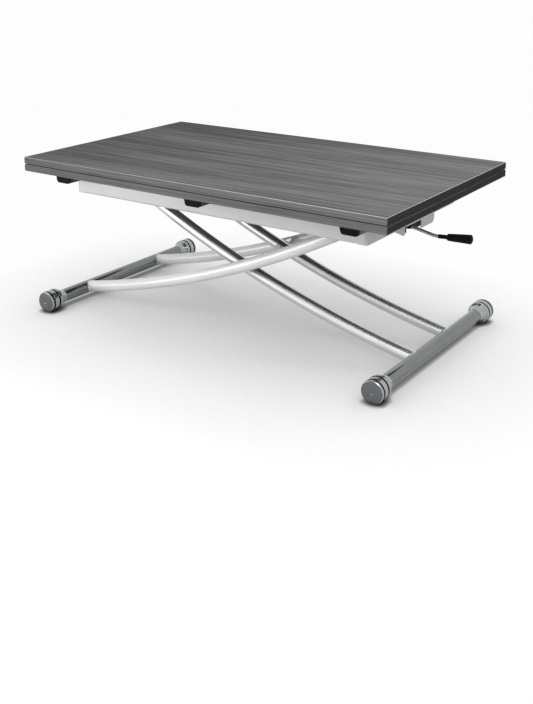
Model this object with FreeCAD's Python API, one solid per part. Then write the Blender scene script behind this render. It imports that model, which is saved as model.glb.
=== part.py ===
import FreeCAD, Part
import math
import os

# Convertible coffee and dining table, in millimetres, closed and at its low height.
# X runs along the top, Y from the front to the back and Z up from the floor.
# The sub-parts are built about the middle of the table top, and saved with the
# origin under the middle of the whole table's box, lever included.

# Overall sizes
top_length = 1100.0
top_width = 660.0
table_height = 440.0

# Leaves
leaf_thickness = 18.0
leaf_gap = 2.0
edging_thickness = 1.5
edge_bevel = 1.0
bumper_radius = 7.0
bumper_relief = 0.1
bumper_inset_x = 70.0
bumper_inset_y = 55.0

# Leaf hinges, let into the rear edges
hinge_length = 60.0
hinge_pitch = 400.0
hinge_plate_height = 13.0
hinge_plate_thickness = 1.5
hinge_offset = 0.3
knuckle_radius = 3.0
knuckle_gap = 0.3
hinge_pin_radius = 1.5
knuckle_count = 5
hinge_steps = (-1, 0, 1)

# Slide shoes under the lower leaf
shoe_length = 60.0
shoe_flange_thickness = 2.5
shoe_flange_width = 38.0
shoe_head_width = 24.0
shoe_head_height = 9.7
shoe_rear_inset = 67.0
shoe_pitch = 130.0
slide_clearance = 0.3

# Cross rails that carry the leaves
rail_end_inset = 11.0
rail_inset = 38.0
rail_height = 24.0
rail_top_width = 54.0
rail_bottom_width = 44.0
rail_wall = 2.0
rail_slot_width = 14.0
rail_corner_radius = 8.0
cap_thickness = 5.0
cap_plug_length = 15.0
cap_pad_width = 30.0
cap_fit = 0.2
rail_steps = {"left": -1, "middle": 0, "right": 1}

# Sub-frame of two long channels and two end plates
frame_inset = 99.0
frame_width = 470.0
channel_height = 38.0
channel_flange = 34.0
sheet_wall = 2.0
channel_bend_radius = 5.0
end_corner_radius = 9.0
end_return = 25.0

# Scissor legs
foot_inset = 36.0
upper_axle_inset = 67.0
leg_radius = 16.0
leg_wall = 2.0
outer_leg_inset = 85.0
leg_pitch = 56.5
boss_radius = 18.0
boss_length = 40.0
scissor_pin_radius = 6.0
scissor_head_radius = 10.0
scissor_head_length = 5.0
scissor_bush_radius = 10.0
scissor_bush_proud = 1.0
scissor_spacer_radius = 12.0

# Upper axles, with their spacers, track rollers and pivot blocks
upper_axle_radius = 7.0
axle_end_gap = 4.5
spacer_radius = 10.0
track_roller_width = 20.0
track_clearance = 0.4
pivot_block_length = 44.0
pivot_block_width = 30.0

# Feet: bars, axles and the ringed rollers that stand on the floor
foot_bar_radius = 18.0
foot_bar_wall = 2.0
foot_bar_length = 500.0
foot_axle_radius = 6.0
foot_axle_seat = 50.0
foot_bush_length = 25.0
ring_radius = 29.0
ring_stand_out = 0.4
ring_width = 5.5
ring_depth = 4.0
neck_radius = 18.6
neck_length = 20.0
shoulder_radius = 24.0
shoulder_length = 4.0
inner_band = 9.0
middle_band = 14.5
outer_band = 5.5
roller_bevel = 1.6
dome_height = 2.6
dimple_radius = 4.0
dimple_depth = 1.4

# Lockable gas spring and its yoke
gas_radius = 13.0
gas_wall = 1.5
gas_length = 285.0
gas_end_wall = 4.0
gas_axle_gap = 3.0
gas_stand_out = 5.0
gland_length = 12.0
gas_rod_radius = 5.0
piston_length = 16.0
piston_gap = 7.0
yoke_length = 30.0
yoke_width = 44.0
yoke_wall = 5.0
yoke_lower_radius = 17.0
yoke_upper_radius = 6.0

# Release head, lever and valve pin at the right-hand end
bracket_front_reach = 100.0
bracket_rear_reach = 117.0
bracket_thickness = 3.0
bracket_drop = 25.0
bracket_corner_radius = 14.0
bracket_apex_radius = 5.0
bracket_top_inset = 6.0
notch_width = 88.0
notch_corner_radius = 5.0
notch_drop = 2.5
head_depth = 30.0
head_rise = 16.0
head_fall = 15.0
head_corner_radius = 3.0
head_lug_width = 13.0
head_arch_fall = 3.0
head_boss_width = 28.0
head_boss_fall = 10.0
head_slot_width = 13.0
head_slot_depth = 18.0
head_slot_rise = 10.0
valve_pin_radius = 2.0
valve_pin_length = 23.0
valve_seat_depth = 18.0
rod_seat = 6.0
lever_reach = 5.5
lever_setback = 9.0
lever_hub_radius = 5.5
lever_hub_width = 12.0
lever_pin_radius = 2.5
lever_finger_thickness = 10.0
lever_rod_radius = 4.2
lever_bend_run = 71.0
lever_bend_drop = 15.0
lever_tip_drop = 8.5
lever_bend_radius = 60.0
lever_overhang = 54.0
sleeve_radius = 5.2
sleeve_length = 24.0
grip_length = 63.0
grip_bore_depth = 40.0
grip_neck_radius = 7.8
grip_waist_radius = 8.8
grip_end_radius = 11.5
grip_bevel = 1.5
grip_dome = 4.0

# Clearances, and the overrun that every cut shares
running_fit = 0.05
side_gap = 0.5
overrun = 5.0

# Shares that place the scissor pivot and shape the domes
scissor_height_share = 0.448
dome_middle_share = 0.5

# Places that follow from the sizes above
half_top = top_length / 2
half_width = top_width / 2
seam_z = table_height - leaf_thickness - leaf_gap / 2
upper_leaf_z = table_height - leaf_thickness
lower_leaf_z = table_height - 2 * leaf_thickness - leaf_gap
rail_top_z = lower_leaf_z - shoe_flange_thickness - slide_clearance
frame_top_z = rail_top_z - rail_height
frame_bottom_z = frame_top_z - channel_height
upper_axle_z = frame_bottom_z + channel_height / 2
rail_length = top_width - 2 * rail_inset
shoe_rear_y = rail_length / 2 - shoe_rear_inset
shoe_front_y = shoe_rear_y - shoe_pitch
half_frame = half_top - frame_inset
half_frame_width = frame_width / 2
rail_pitch = half_frame - rail_end_inset
foot_x = half_top - foot_inset
upper_x = half_frame - upper_axle_inset
outer_leg_y = half_frame_width - outer_leg_inset
inner_leg_y = outer_leg_y - leg_pitch
upper_axle_length = frame_width - 2 * (sheet_wall + axle_end_gap)
foot_z = ring_radius
scissor_height = foot_z + scissor_height_share * (upper_axle_z - foot_z)
drum_radius = ring_radius - ring_stand_out
shoulder_reach = neck_length + shoulder_length
roller_length = shoulder_reach + inner_band + middle_band + outer_band + 2 * ring_width + dome_height
track_roller_radius = channel_height / 2 - sheet_wall - track_clearance
gas_z = upper_axle_z - upper_axle_radius - gas_axle_gap - gas_radius
gas_right_x = upper_x + yoke_length / 2 + gas_stand_out
gas_left_x = gas_right_x - gas_length
piston_x = gas_left_x + gas_end_wall + piston_gap
bracket_x = half_frame - sheet_wall - bracket_thickness
head_x = bracket_x - head_depth
rod_end_x = head_x + rod_seat
lever_x = bracket_x - lever_setback
lever_z = gas_z - lever_reach
lever_tip_x = half_top + lever_overhang
table_mid_x = -lever_overhang / 2
along_x = FreeCAD.Vector(1, 0, 0)
along_y = FreeCAD.Vector(0, 1, 0)
along_z = FreeCAD.Vector(0, 0, 1)


def point(x, y, z):
    """A point of the table, measured from the middle of its top."""
    return FreeCAD.Vector(x, y, z)


def block(x_from, x_to, y_from, y_to, z_from, z_to):
    """A box between two corners."""
    return Part.makeBox(x_to - x_from, y_to - y_from, z_to - z_from, point(x_from, y_from, z_from))


def round_y(x, z, y_from, y_to, radius):
    """A round bar along Y."""
    return Part.makeCylinder(radius, y_to - y_from, point(x, y_from, z), along_y)


def round_x(y, z, x_from, x_to, radius):
    """A round bar along X."""
    return Part.makeCylinder(radius, x_to - x_from, point(x_from, y, z), along_x)


def sleeve_y(x, z, y_from, y_to, outer_radius, inner_radius):
    """A plain sleeve along Y."""
    bore = round_y(x, z, y_from - overrun, y_to + overrun, inner_radius)
    return round_y(x, z, y_from, y_to, outer_radius).cut(bore)


def rounded_face(corners, place):
    """A flat face whose corners (u, v, radius) are rounded, with place giving the point of u and v."""
    edges = []
    joints = []
    for index, (u, v, radius) in enumerate(corners):
        here = FreeCAD.Vector(u, v, 0)
        before = FreeCAD.Vector(corners[index - 1][0], corners[index - 1][1], 0) - here
        after_corner = corners[(index + 1) % len(corners)]
        after = FreeCAD.Vector(after_corner[0], after_corner[1], 0) - here
        before.normalize()
        after.normalize()
        half_angle = before.getAngle(after) / 2
        reach = radius / math.tan(half_angle)
        bisector = (before + after).normalize()
        middle = here + bisector * (radius / math.sin(half_angle) - radius)
        ends = [here + before * reach, middle, here + after * reach]
        joints.append([place(end.x, end.y) for end in ends])
        if radius:
            edges.append(Part.Arc(*joints[-1]).toShape())
    for index, joint in enumerate(joints):
        edges.append(Part.makeLine(joints[index - 1][2], joint[0]))
    return Part.Face(Part.Wire(Part.__sortEdges__(edges)))


def on_yz(x):
    """Places an outline of (y, z) on the plane at x."""
    return lambda y, z: point(x, y, z)


def on_xz(y):
    """Places an outline of (x, z) on the plane at y."""
    return lambda x, z: point(x, y, z)


def on_xy(z):
    """Places an outline of (x, y) on the plane at z."""
    return lambda x, y: point(x, y, z)


def mirrored_y(shape):
    """The same shape on the other side of the table's long middle plane."""
    return shape.mirror(point(0, 0, 0), along_y)


def both_sides(shape):
    """A shape and its mirror image across the long middle plane, as two solids."""
    return Part.makeCompound([shape, mirrored_y(shape)])


def dome_radius(rim_radius, height):
    """The radius of a round dome that rises by height inside a rim."""
    return (rim_radius * rim_radius + height * height) / (2 * height)


def dome_fall(rim_radius, height, radius):
    """How far a dome lies below its top at a radius from its axis."""
    curve = dome_radius(rim_radius, height)
    return curve - math.sqrt(curve * curve - radius * radius)


def turned_profile(edges, centre, axis):
    """A solid turned from a closed profile."""
    return Part.Face(Part.Wire(Part.__sortEdges__(edges))).revolve(centre, axis, 360)


def polyline(points):
    """Straight edges through the points."""
    return [Part.makeLine(first, second) for first, second in zip(points, points[1:])]


# Table top


def leaf_core(bottom_z):
    """The board inside a leaf's edging."""
    x = half_top - edging_thickness
    y = half_width - edging_thickness
    return block(-x, x, -y, y, bottom_z, bottom_z + leaf_thickness)


def leaf_edging(bottom_z):
    """The band round a leaf, with its outer edges bevelled."""
    outside = block(-half_top, half_top, -half_width, half_width, bottom_z, bottom_z + leaf_thickness)
    return outside.makeChamfer(edge_bevel, outside.Edges).cut(leaf_core(bottom_z))


def hinge_plate(start_x, side):
    """The flat plate of one hinge, below the seam for side -1 and above it for side 1."""
    low = seam_z + side * leaf_gap / 2
    high = low + side * hinge_plate_height
    y = half_width - hinge_plate_thickness
    return block(start_x, start_x + hinge_length, y, half_width, min(low, high), max(low, high))


def hinge_round(start_x, end_x, radius):
    """A round bar on the hinge line."""
    return round_x(half_width + hinge_offset, seam_z, start_x, end_x, radius)


def hinge_half(start_x, side):
    """One plate with its knuckles, leaving room for the knuckles of the other."""
    pitch = hinge_length / knuckle_count
    first_own = 0 if side < 0 else 1
    bore = hinge_pin_radius if side < 0 else hinge_pin_radius + running_fit
    plate = hinge_plate(start_x, side)
    for index in range(knuckle_count):
        from_x = start_x + index * pitch
        if index % 2 == first_own:
            own_from = from_x + knuckle_gap / 2
            plate = plate.fuse(hinge_round(own_from, own_from + pitch - knuckle_gap, knuckle_radius))
        else:
            plate = plate.cut(hinge_round(from_x, from_x + pitch, knuckle_radius + knuckle_gap))
    pin_room = hinge_round(start_x - overrun, start_x + hinge_length + overrun, bore)
    return plate.cut(pin_room).removeSplitter()


def hinge_starts():
    """Where each hinge begins along the rear edge."""
    return [step * hinge_pitch - hinge_length / 2 for step in hinge_steps]


def hinge_room(side):
    """The recesses that the hinges take up in a leaf."""
    rooms = []
    for start_x in hinge_starts():
        rooms.append(hinge_plate(start_x, side))
        end_x = start_x + hinge_length
        rooms.append(hinge_round(start_x - knuckle_gap, end_x + knuckle_gap, knuckle_radius + knuckle_gap))
    return rooms


def leaf_bumpers():
    """Thin round pads that keep the closed leaves apart."""
    pads = []
    for x in (bumper_inset_x - half_top, 0, half_top - bumper_inset_x):
        for y in (bumper_inset_y - half_width, half_width - bumper_inset_y):
            low = point(x, y, lower_leaf_z + leaf_thickness)
            pads.append(Part.makeCylinder(bumper_radius, leaf_gap - bumper_relief, low))
    return Part.makeCompound(pads)


def slide_shoe(x, y):
    """One shoe: a flange on the rail's lips, a neck in its slot and a head below the lips."""
    flange = shoe_flange_width / 2
    neck = rail_slot_width / 2 - slide_clearance
    head = shoe_head_width / 2
    flange_z = lower_leaf_z - shoe_flange_thickness
    head_z = rail_top_z - rail_wall - slide_clearance
    low_z = head_z - shoe_head_height
    half = [(flange, lower_leaf_z), (flange, flange_z), (neck, flange_z), (neck, head_z), (head, head_z)]
    right = half + [(head, low_z)]
    left = [(-u, z) for u, z in reversed(right)]
    corners = [(x + u, z, 0) for u, z in right + left]
    return rounded_face(corners, on_xz(y - shoe_length / 2)).extrude(along_y * shoe_length)


def table_top(parts):
    """The two leaves, their edging and hinges, and the shoes that the lower one slides on."""
    levels = {"lower": (lower_leaf_z, -1), "upper": (upper_leaf_z, 1)}
    for name, (bottom_z, side) in levels.items():
        rooms = hinge_room(side)
        parts[name + "_leaf"] = leaf_core(bottom_z).cut(rooms)
        parts[name + "_edging"] = leaf_edging(bottom_z).cut(rooms)
        halves = [hinge_half(start_x, side) for start_x in hinge_starts()]
        parts[name + "_hinge_plates"] = Part.makeCompound(halves)
    pins = [hinge_round(start_x, start_x + hinge_length, hinge_pin_radius) for start_x in hinge_starts()]
    parts["hinge_pins"] = Part.makeCompound(pins)
    parts["leaf_bumpers"] = leaf_bumpers()
    places = [(step * rail_pitch, y) for step in rail_steps.values() for y in (shoe_front_y, shoe_rear_y)]
    parts["slide_shoes"] = Part.makeCompound([slide_shoe(x, y) for x, y in places])


# Sub-frame


def rail_outline(x, inset, open_top):
    """A rail's outline with rounded lower corners, set in by inset, and its slot where open_top is true."""
    low = frame_top_z + inset
    high = rail_top_z - inset
    slope = (rail_top_width - rail_bottom_width) / 2 / rail_height
    side_inset = inset * math.hypot(1, slope)
    bottom = rail_bottom_width / 2 - side_inset + slope * inset
    top = rail_top_width / 2 - side_inset - slope * inset
    radius = rail_corner_radius - inset
    corners = [(x - top, high, 0), (x - bottom, low, radius), (x + bottom, low, radius), (x + top, high, 0)]
    if not open_top:
        return corners
    slot = rail_slot_width / 2
    lips = [(x + slot, high, 0), (x + slot, rail_top_z + overrun, 0)]
    return corners + lips + [(x - slot, rail_top_z + overrun, 0), (x - slot, high, 0)]


def cross_rail(x):
    """A slotted rail of folded sheet, lying across the channels."""
    start = -rail_length / 2
    outside = rounded_face(rail_outline(x, 0, False), on_xz(start)).extrude(along_y * rail_length)
    inside = rounded_face(rail_outline(x, rail_wall, True), on_xz(start - overrun))
    return outside.cut(inside.extrude(along_y * (rail_length + 2 * overrun)))


def rail_cap(x):
    """A rear rail end cap: an end wall, a plug inside the rail and a pad that the leaf glides on."""
    end_y = rail_length / 2
    wall = rounded_face(rail_outline(x, 0, False), on_xz(end_y)).extrude(along_y * cap_thickness)
    plug_face = rounded_face(rail_outline(x, rail_wall + cap_fit, False), on_xz(end_y - cap_plug_length))
    plug = plug_face.extrude(along_y * cap_plug_length)
    pad_x = cap_pad_width / 2
    pad_top = lower_leaf_z - slide_clearance
    pad_start = end_y - cap_plug_length
    pad = block(x - pad_x, x + pad_x, pad_start, end_y + cap_thickness, rail_top_z, pad_top)
    return wall.fuse([plug, pad]).removeSplitter()


def front_channel():
    """The front channel, open towards the middle of the table."""
    out = -half_frame_width
    lip = out + channel_flange
    inner_radius = channel_bend_radius - sheet_wall
    inner_low = frame_bottom_z + sheet_wall
    inner_high = frame_top_z - sheet_wall
    outer = [(lip, frame_bottom_z, 0), (out, frame_bottom_z, channel_bend_radius)]
    outer += [(out, frame_top_z, channel_bend_radius), (lip, frame_top_z, 0)]
    inner = [(lip, inner_high, 0), (out + sheet_wall, inner_high, inner_radius)]
    inner += [(out + sheet_wall, inner_low, inner_radius), (lip, inner_low, 0)]
    start = end_return - half_frame
    return rounded_face(outer + inner, on_yz(start)).extrude(along_x * (2 * (half_frame - end_return)))


def right_end_plate():
    """The right end plate, turned back at both corners to meet the channels."""
    meet = half_frame - end_return
    inner_radius = end_corner_radius - sheet_wall
    inner_x = half_frame - sheet_wall
    inner_y = half_frame_width - sheet_wall
    outer = [(meet, -half_frame_width, 0), (half_frame, -half_frame_width, end_corner_radius)]
    outer += [(half_frame, half_frame_width, end_corner_radius), (meet, half_frame_width, 0)]
    inner = [(meet, inner_y, 0), (inner_x, inner_y, inner_radius)]
    inner += [(inner_x, -inner_y, inner_radius), (meet, -inner_y, 0)]
    return rounded_face(outer + inner, on_xy(frame_bottom_z)).extrude(along_z * channel_height)


def pivot_block():
    """The rear bearing block that carries the left upper axle in its channel."""
    far_y = half_frame_width - sheet_wall
    near_y = far_y - pivot_block_width
    x_from = -upper_x - pivot_block_length / 2
    low = frame_bottom_z + sheet_wall
    high = frame_top_z - sheet_wall
    body = block(x_from, x_from + pivot_block_length, near_y, far_y, low, high)
    corner = channel_bend_radius - sheet_wall
    outer_edges = [edge for edge in body.Edges if runs_along_x(edge) and edge.CenterOfMass.y > far_y - corner]
    bore = round_y(-upper_x, upper_axle_z, near_y - overrun, far_y + overrun, upper_axle_radius + running_fit)
    return body.makeFillet(corner, outer_edges).cut(bore)


def runs_along_x(edge):
    """Whether a straight edge is parallel to X."""
    direction = edge.Vertexes[1].Point - edge.Vertexes[0].Point
    return abs(direction.x) > abs(direction.y) + abs(direction.z)


def sub_frame(parts):
    """The frame under the top: channels, end plates, bearing blocks, rails and their caps."""
    front = front_channel()
    parts["front_channel"] = front
    parts["rear_channel"] = mirrored_y(front)
    right_end = right_end_plate()
    parts["right_end_plate"] = right_end
    parts["left_end_plate"] = right_end.mirror(point(0, 0, 0), along_x)
    parts["pivot_blocks"] = both_sides(pivot_block())
    caps = []
    for name, step in rail_steps.items():
        parts[name + "_cross_rail"] = cross_rail(step * rail_pitch)
        caps.append(both_sides(rail_cap(step * rail_pitch)))
    parts["rail_end_caps"] = Part.makeCompound([cap for pair in caps for cap in pair.Solids])


# Scissor legs


def leg_bar(foot_at, upper_at, y, radius):
    """A round bar bent to one arc through the foot axle, the scissor pivot and the upper axle."""
    foot = point(foot_at, y, foot_z)
    arc = Part.Arc(foot, point(0, y, scissor_height), point(upper_at, y, upper_axle_z)).toShape()
    start = arc.tangentAt(arc.FirstParameter)
    face = Part.Face(Part.Wire(Part.makeCircle(radius, foot, start)))
    turn = math.degrees(arc.Length / arc.Curve.Radius)
    return face.revolve(arc.Curve.Center, arc.Curve.Axis, turn)


def leg_tube(foot_at, upper_at, y):
    """A bent leg tube, coped on to the foot bar and on to its upper boss."""
    tube = leg_bar(foot_at, upper_at, y, leg_radius)
    ends = [round_y(foot_at, foot_z, y - 2 * leg_radius, y + 2 * leg_radius, foot_bar_radius)]
    ends.append(round_y(upper_at, upper_axle_z, y - 2 * leg_radius, y + 2 * leg_radius, boss_radius))
    return tube.cut([leg_bar(foot_at, upper_at, y, leg_radius - leg_wall)] + ends)


def leg_boss(upper_at, y):
    """The boss at a leg's upper end, fixed on its axle."""
    start = y - boss_length / 2
    return sleeve_y(upper_at, upper_axle_z, start, start + boss_length, boss_radius, upper_axle_radius)


def scissor_hole(y_from, y_to, radius):
    """A round bar on the scissor pivot."""
    return round_y(0, scissor_height, y_from, y_to, radius)


def scissor_pin():
    """The rear pivot pin: its shank ends in the outer leg and its head lies inside the inner one."""
    head_y = inner_leg_y - leg_radius - scissor_bush_proud - side_gap
    shank = scissor_hole(head_y, outer_leg_y, scissor_pin_radius)
    head = scissor_hole(head_y - scissor_head_length, head_y, scissor_head_radius)
    return shank.fuse(head).removeSplitter()


def scissor_spacer():
    """The rear spacer between the legs, coped on to the outer one."""
    start = inner_leg_y + leg_radius + scissor_bush_proud + side_gap
    body = sleeve_y(0, scissor_height, start, outer_leg_y, scissor_spacer_radius, scissor_pin_radius)
    return body.cut(leg_bar(-foot_x, upper_x, outer_leg_y, leg_radius))


def scissor_bush():
    """The rear bush through the inner leg."""
    reach = leg_radius + scissor_bush_proud
    bore = scissor_pin_radius + running_fit
    return sleeve_y(0, scissor_height, inner_leg_y - reach, inner_leg_y + reach, scissor_bush_radius, bore)


def upper_axle(x):
    """A steel axle across the sub-frame."""
    return round_y(x, upper_axle_z, -upper_axle_length / 2, upper_axle_length / 2, upper_axle_radius)


def axle_spacer(x, y_from, y_to):
    """A spacer on an upper axle."""
    return sleeve_y(x, upper_axle_z, y_from, y_to, spacer_radius, upper_axle_radius)


def track_roller():
    """The rear roller that runs in the channel on the end of the right upper axle."""
    far_y = half_frame_width - sheet_wall - track_roller_edge()
    near_y = far_y - track_roller_width
    bore = upper_axle_radius + running_fit
    return sleeve_y(upper_x, upper_axle_z, near_y, far_y, track_roller_radius, bore)


def track_roller_edge():
    """How far a track roller keeps from the channel's web, clear of its bend."""
    return channel_bend_radius + side_gap


def outer_legs(parts):
    """The legs from the left foot bar to the right upper axle."""
    rear = leg_tube(-foot_x, upper_x, outer_leg_y)
    rear = rear.cut(scissor_hole(outer_leg_y - 2 * leg_radius, outer_leg_y, scissor_pin_radius))
    parts["outer_rear_leg"] = rear
    parts["outer_front_leg"] = mirrored_y(rear)
    parts["outer_leg_bosses"] = both_sides(leg_boss(upper_x, outer_leg_y))
    parts["lift_axle"] = upper_axle(upper_x)
    inner_spacer = axle_spacer(upper_x, yoke_width / 2 + side_gap, outer_leg_y - boss_length / 2)
    roller_near_y = half_frame_width - sheet_wall - track_roller_edge() - track_roller_width
    outer_spacer = axle_spacer(upper_x, outer_leg_y + boss_length / 2, roller_near_y - side_gap)
    spacers = both_sides(inner_spacer).Solids + both_sides(outer_spacer).Solids
    parts["lift_axle_spacers"] = Part.makeCompound(spacers)
    parts["scissor_pins"] = both_sides(scissor_pin())
    parts["scissor_spacers"] = both_sides(scissor_spacer())
    parts["rear_track_roller"] = track_roller()
    parts["front_track_roller"] = mirrored_y(track_roller())


def inner_legs(parts):
    """The legs from the right foot bar to the left upper axle."""
    rear = leg_tube(foot_x, -upper_x, inner_leg_y)
    rear = rear.cut(scissor_hole(inner_leg_y - 2 * leg_radius, inner_leg_y + 2 * leg_radius, scissor_bush_radius))
    parts["inner_rear_leg"] = rear
    parts["inner_front_leg"] = mirrored_y(rear)
    parts["inner_leg_bosses"] = both_sides(leg_boss(-upper_x, inner_leg_y))
    parts["pivot_axle"] = upper_axle(-upper_x)
    block_near_y = half_frame_width - sheet_wall - pivot_block_width
    side_spacer = axle_spacer(-upper_x, inner_leg_y + boss_length / 2, block_near_y - side_gap)
    middle_end = inner_leg_y - boss_length / 2
    middle_spacer = axle_spacer(-upper_x, -middle_end, middle_end)
    parts["pivot_axle_spacers"] = Part.makeCompound(both_sides(side_spacer).Solids + [middle_spacer])
    parts["scissor_bushes"] = both_sides(scissor_bush())


# Feet


def foot_bar(x):
    """A foot bar, open at both ends for its bushes."""
    half = foot_bar_length / 2
    return sleeve_y(x, foot_z, -half, half, foot_bar_radius, foot_bar_radius - foot_bar_wall)


def foot_bush(x):
    """The bush in the rear end of a foot bar."""
    half = foot_bar_length / 2
    outer_radius = foot_bar_radius - foot_bar_wall
    return sleeve_y(x, foot_z, half - foot_bush_length, half, outer_radius, foot_axle_radius + running_fit)


def roller_start():
    """Where the rear rollers begin, just clear of the bar's end."""
    return foot_bar_length / 2 + side_gap


def ring_starts():
    """Where the two rubber rings of the rear roller begin."""
    first = roller_start() + shoulder_reach + inner_band
    return [first, first + ring_width + middle_band]


def foot_roller(x):
    """The rear roller: a flared neck and shoulder, a drum with two ring grooves and a dimpled dome."""
    start = roller_start()
    end = start + roller_length
    edge = end - dome_height
    groove = drum_radius - ring_depth

    def at(y, radius):
        return point(x + radius, y, foot_z)

    outline = [at(start + foot_axle_seat, 0), at(start + foot_axle_seat, foot_axle_radius)]
    outline += [at(start, foot_axle_radius), at(start, neck_radius), at(start + neck_length, shoulder_radius)]
    outline += [at(start + shoulder_reach, drum_radius)]
    for ring_y in ring_starts():
        outline += [at(ring_y, drum_radius), at(ring_y, groove)]
        outline += [at(ring_y + ring_width, groove), at(ring_y + ring_width, drum_radius)]
    outline += [at(edge - roller_bevel, drum_radius), at(edge, drum_radius - roller_bevel)]
    rim = drum_radius - roller_bevel
    middle = rim * dome_middle_share
    dome_points = [at(end - dome_fall(rim, dome_height, radius), radius) for radius in (middle, dimple_radius)]
    dome = Part.Arc(outline[-1], *dome_points).toShape()
    closing = [dome_points[-1], at(end - dimple_depth, 0), outline[0]]
    return turned_profile(polyline(outline) + [dome] + polyline(closing), point(x, 0, foot_z), along_y)


def roller_ring(x, ring_y):
    """A rubber ring with a crowned tread, in its groove."""
    groove = drum_radius - ring_depth
    corners = [point(x + drum_radius, ring_y, foot_z), point(x + groove, ring_y, foot_z)]
    corners += [point(x + groove, ring_y + ring_width, foot_z)]
    corners += [point(x + drum_radius, ring_y + ring_width, foot_z)]
    crown = Part.Arc(corners[-1], point(x + ring_radius, ring_y + ring_width / 2, foot_z), corners[0]).toShape()
    return turned_profile(polyline(corners) + [crown], point(x, 0, foot_z), along_y)


def feet(parts):
    """The two foot bars with their bushes, axles, rollers and rubber rings."""
    for name, x in {"left": -foot_x, "right": foot_x}.items():
        parts[name + "_foot_bar"] = foot_bar(x)
        parts[name + "_foot_bushes"] = both_sides(foot_bush(x))
        axle_half = roller_start() + foot_axle_seat
        parts[name + "_foot_axle"] = round_y(x, foot_z, -axle_half, axle_half, foot_axle_radius)
        roller = foot_roller(x)
        parts[name + "_rear_roller"] = roller
        parts[name + "_front_roller"] = mirrored_y(roller)
        rings = [both_sides(roller_ring(x, ring_y)) for ring_y in ring_starts()]
        parts[name + "_roller_rings"] = Part.makeCompound([ring for pair in rings for ring in pair.Solids])


# Gas spring


def gas_spring(parts):
    """The lockable gas spring that lifts the top, and the yoke that ties it to the lift axle."""
    bore = gas_radius - gas_wall
    tube = round_x(0, gas_z, gas_left_x, gas_right_x, gas_radius)
    parts["gas_cylinder"] = tube.cut(round_x(0, gas_z, gas_left_x + gas_end_wall, gas_right_x + overrun, bore))
    gland = round_x(0, gas_z, gas_right_x - gland_length, gas_right_x, bore)
    gland_bore = gas_rod_radius + running_fit
    parts["gas_gland"] = gland.cut(round_x(0, gas_z, gas_left_x, gas_right_x + overrun, gland_bore))
    piston_end = piston_x + piston_length
    parts["gas_piston"] = round_x(0, gas_z, piston_x, piston_end, bore - running_fit)
    rod = round_x(0, gas_z, piston_end, rod_end_x, gas_rod_radius)
    valve_bore = round_x(0, gas_z, rod_end_x - valve_seat_depth, rod_end_x + overrun, valve_pin_radius + running_fit)
    parts["gas_rod"] = rod.cut(valve_bore)
    parts["lift_yoke"] = lift_yoke()


def lift_yoke():
    """The block clamped on the gas cylinder, turning on the lift axle above it."""
    half = yoke_width / 2
    low = gas_z - gas_radius - yoke_wall
    high = upper_axle_z + upper_axle_radius + yoke_wall
    corners = [(-half, low, yoke_lower_radius), (half, low, yoke_lower_radius)]
    corners += [(half, high, yoke_upper_radius), (-half, high, yoke_upper_radius)]
    start = upper_x - yoke_length / 2
    body = rounded_face(corners, on_yz(start)).extrude(along_x * yoke_length)
    cylinder_room = round_x(0, gas_z, start - overrun, start + yoke_length + overrun, gas_radius)
    axle_room = round_y(upper_x, upper_axle_z, -half - overrun, half + overrun, upper_axle_radius + running_fit)
    return body.cut([cylinder_room, axle_room])


# Release lever


def lever_bracket():
    """The plate that hangs below the right end plate: a slanted front ear, a notch and a full rear ear."""
    rear = bracket_rear_reach
    front = -bracket_front_reach
    notch = notch_width / 2
    low = frame_bottom_z - bracket_drop
    notch_top = frame_bottom_z - notch_drop
    high = frame_top_z - bracket_top_inset
    outline = [(rear, high, 0), (rear, low, bracket_corner_radius), (notch, low, 0)]
    outline += [(notch, notch_top, notch_corner_radius), (-notch, notch_top, notch_corner_radius)]
    outline += [(-notch, low, bracket_apex_radius), (front, frame_bottom_z, 0), (front, high, 0)]
    return rounded_face(outline, on_yz(bracket_x)).extrude(along_x * bracket_thickness)


def release_head():
    """The moulded head that holds the gas rod, the valve pin and the lever's pivot, arched at its front."""
    half = notch_width / 2
    lug = half - head_lug_width
    boss = head_boss_width / 2
    low = gas_z - head_fall
    high = gas_z + head_rise
    arch = gas_z - head_arch_fall
    boss_low = gas_z - head_boss_fall
    radius = head_corner_radius
    corners = [(-half, high, radius), (-half, low, radius), (-lug, low, radius), (-lug, arch, radius)]
    corners += [(-boss, arch, radius), (-boss, boss_low, 0), (0, boss_low, 0), (0, low, 0)]
    corners += [(half, low, radius), (half, high, radius)]
    body = rounded_face(corners, on_yz(head_x)).extrude(along_x * head_depth)
    slot = head_slot_width / 2
    slot_x = bracket_x - head_slot_depth
    slot_top = gas_z + head_slot_rise
    room = block(slot_x, bracket_x + overrun, -slot, slot, low - overrun, slot_top)
    rod_room = round_x(0, gas_z, head_x - overrun, rod_end_x, gas_rod_radius)
    valve_room = round_x(0, gas_z, rod_end_x, slot_x + overrun, valve_pin_radius + running_fit)
    pin_room = round_y(lever_x, lever_z, -boss, boss, lever_pin_radius)
    return body.cut([room, rod_room, valve_room, pin_room])


def lever_line():
    """The hub, bend and tip of the lever's axis."""
    hub = point(lever_x, 0, lever_z)
    bend = point(lever_x + lever_bend_run, 0, lever_z - lever_bend_drop)
    return hub, bend, point(lever_tip_x, 0, lever_z - lever_tip_drop)


def grip_axis():
    """The inner end and the direction of the grip."""
    hub, bend, tip = lever_line()
    direction = (tip - bend).normalize()
    return tip - direction * grip_length, direction


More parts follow.
